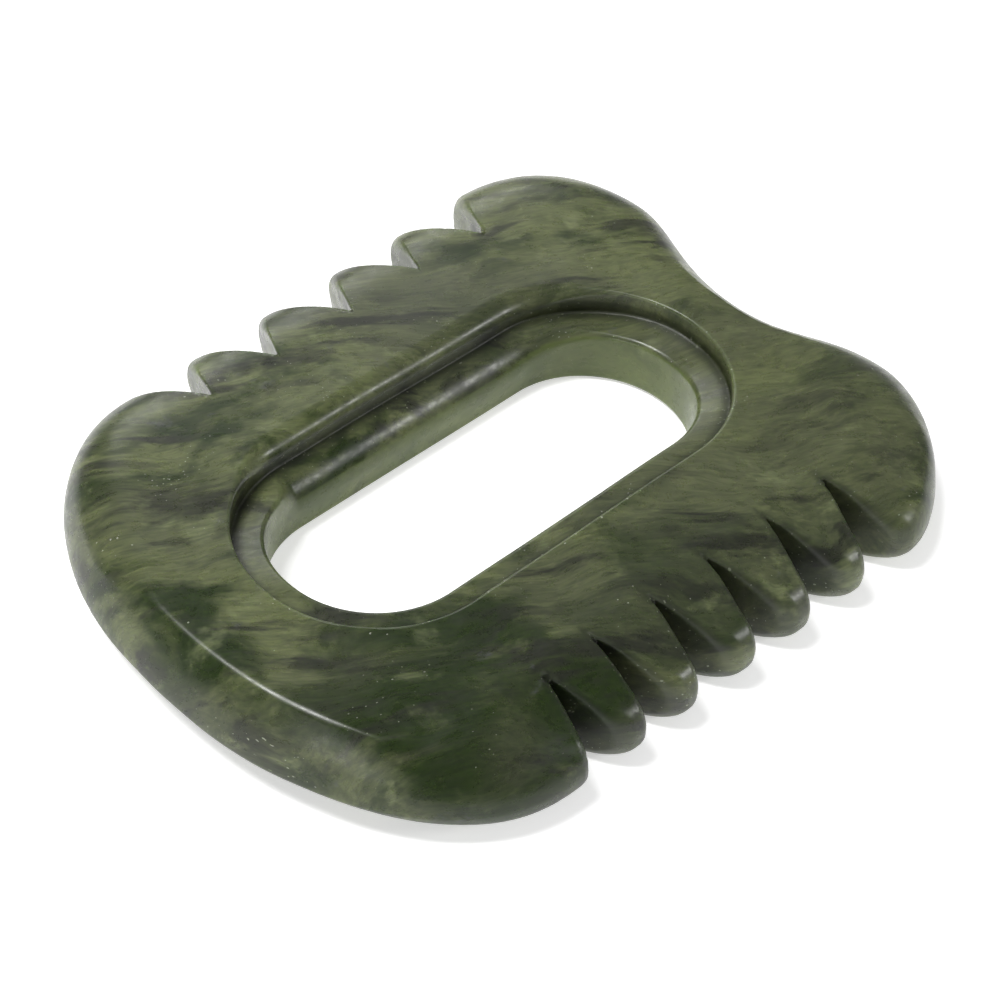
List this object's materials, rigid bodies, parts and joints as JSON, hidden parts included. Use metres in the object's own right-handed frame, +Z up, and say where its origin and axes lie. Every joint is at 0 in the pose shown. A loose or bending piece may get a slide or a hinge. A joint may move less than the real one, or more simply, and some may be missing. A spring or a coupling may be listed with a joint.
{
  "type": "gua sha scraper",
  "caption": "Flat carved stone massage scraper with a long rounded hand slot, a sunken ledge round it, a convex front edge, notched comb sides and two rear horns.",
  "frame": {"origin": "centre of the bounding box in plan, at the flat face the stone rests on", "axes": "+Z up out of the top face with the ledge, -X towards the convex front edge, +X towards the two horns, comb edges along -Y and +Y"},
  "size_m": [0.125, 0.1004, 0.0143],
  "materials": {
    "stone": "polished dark green jade-like stone with grey and black streaks"
  },
  "bodies": {
    "root": {"stone_body": "stone"}
  },
  "joints": []
}
